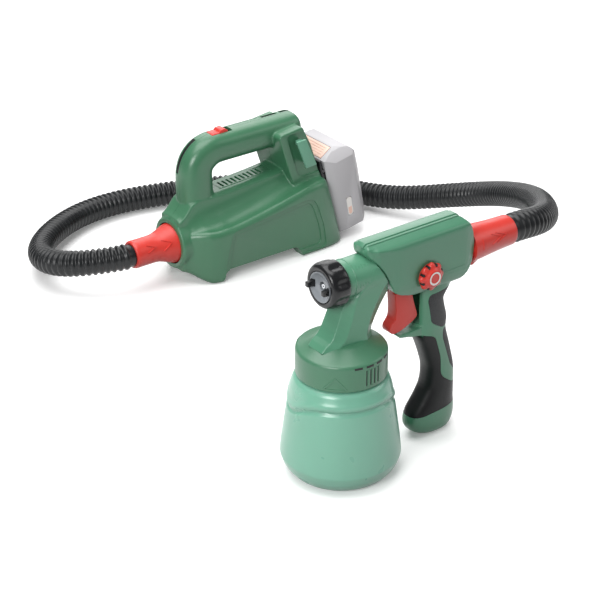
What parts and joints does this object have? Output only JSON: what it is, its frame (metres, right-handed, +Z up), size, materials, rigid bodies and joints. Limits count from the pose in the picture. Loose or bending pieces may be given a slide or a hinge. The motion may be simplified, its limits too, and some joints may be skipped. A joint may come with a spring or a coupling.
{
  "type": "paint sprayer",
  "caption": "Cordless turbine paint sprayer: base unit with carry handle and slide-on battery, ribbed air hose, and a spray gun on a screw-on paint container.",
  "frame": {"origin": "floor level, at the middle in X and Y of the gun, container, base unit and battery together (hose and its connectors left out)", "axes": "+X from the nozzle back towards the battery, +Y from the gun to the base unit, +Z up"},
  "size_m": [0.4744, 0.6333, 0.215],
  "materials": {
    "container_plastic": "satin, slightly see-through",
    "lid_green": "satin",
    "head_green": "satin",
    "gun_green": "satin",
    "base_green": "satin",
    "tab_green": "satin",
    "red_plastic": "satin",
    "black_plastic": "satin",
    "soft_black": "smooth soft grip",
    "hose_black": "ribbed, half gloss",
    "seal_rubber": "matt",
    "tube_plastic": "matt",
    "nozzle_metal": "satin",
    "cap_grey": "satin",
    "steel": "bright",
    "contact_brass": "bright",
    "filter_foam": "open foam",
    "board_green": "board with parts",
    "battery_grey": "satin",
    "button_peach": "satin",
    "display_white": "clear window",
    "cell_wrap": "shrink film"
  },
  "bodies": {
    "sprayer": {"container_lid": "lid_green", "container_seal": "seal_rubber", "suction_tube": "tube_plastic", "spray_head": "head_green", "fluid_nozzle": "nozzle_metal", "needle_gland": "soft_black", "needle_spring": "steel", "gun_shell_left": "gun_green", "gun_shell_right": "gun_green", "trigger_pin": "steel", "soft_grip": "soft_black", "grip_inserts": "soft_black", "spring_stop": "black_plastic", "gun_screws": "steel", "gun_connector": "red_plastic", "air_hose": "hose_black", "base_connector": "red_plastic", "base_shell_left": "base_green", "base_shell_right": "base_green", "outlet_duct": "black_plastic", "volute": "black_plastic", "motor_can": "steel", "motor_mounts": "black_plastic", "air_filter": "filter_foam", "vent_grille": "base_green", "control_board": "board_green", "switch_module": "black_plastic", "strap_brackets": "tab_green", "strap_slots": "black_plastic", "battery_dock": "black_plastic", "dock_contacts": "contact_brass", "base_screws": "steel"},
    "container_body": {"container": "container_plastic"},
    "cap_body": {"air_cap": "cap_grey"},
    "nut_body": {"union_nut": "black_plastic"},
    "trigger_body": {"trigger": "red_plastic"},
    "needle_body": {"needle": "steel"},
    "dial_body": {"flow_dial": "red_plastic"},
    "switch_body": {"power_switch": "red_plastic"},
    "rotor_body": {"impeller": "nozzle_metal", "motor_shaft": "steel"},
    "battery_body": {"battery_case": "battery_grey", "battery_cells": "cell_wrap", "battery_contacts": "contact_brass", "button_spring": "steel", "charge_display": "display_white"},
    "button_body": {"battery_button": "button_peach"}
  },
  "joints": [
    {"name": "container_turn", "type": "hinge", "parent": "sprayer", "child": "container_body", "pos_m": [-0.13429, -0.19325, 0.1], "axis": [0, 0, 1], "range_deg": [0, 120]},
    {"name": "union_nut_turn", "type": "hinge", "parent": "sprayer", "child": "nut_body", "pos_m": [-0.14829, -0.19325, 0.186], "axis": [1, 0, 0], "range_deg": [0, 90]},
    {"name": "air_cap_turn", "type": "hinge", "parent": "sprayer", "child": "cap_body", "pos_m": [-0.15429, -0.19325, 0.186], "axis": [1, 0, 0], "range_deg": [0, 90]},
    {"name": "trigger_pull", "type": "hinge", "parent": "sprayer", "child": "trigger_body", "pos_m": [-0.07629, -0.19325, 0.199], "axis": [0, -1, 0], "range_deg": [0, 12], "stiffness_Nm_per_rad": 1.2, "springref_deg": -17.19},
    {"name": "needle_slide", "type": "slide", "parent": "sprayer", "child": "needle_body", "axis": [1, 0, 0], "range_m": [0, 0.003], "deforming": ["needle_spring"]},
    {"name": "flow_dial_turn", "type": "hinge", "parent": "sprayer", "child": "dial_body", "pos_m": [-0.05229, -0.21825, 0.172], "axis": [0, 1, 0], "range_deg": [0, 270]},
    {"name": "power_switch_slide", "type": "slide", "parent": "sprayer", "child": "switch_body", "axis": [1, 0, 0], "range_m": [0, 0.005]},
    {"name": "rotor_spin", "type": "hinge", "parent": "sprayer", "child": "rotor_body", "pos_m": [0.01571, 0.20175, 0.045], "axis": [1, 0, 0], "continuous": true},
    {"name": "battery_slide", "type": "slide", "parent": "sprayer", "child": "battery_body", "axis": [-0.1908, 0, 0.9816], "range_m": [0, 0.09]},
    {"name": "battery_button_press", "type": "slide", "parent": "battery_body", "child": "button_body", "axis": [0.573, 0, -0.8195], "range_m": [0, 0.0025], "stiffness_N_per_m": 800, "springref_m": -0.002, "deforming": ["button_spring"]}
  ],
  "couplings": [
    {"joint": "needle_slide", "follows": "trigger_pull", "m_per_rad": 0.013}
  ]
}
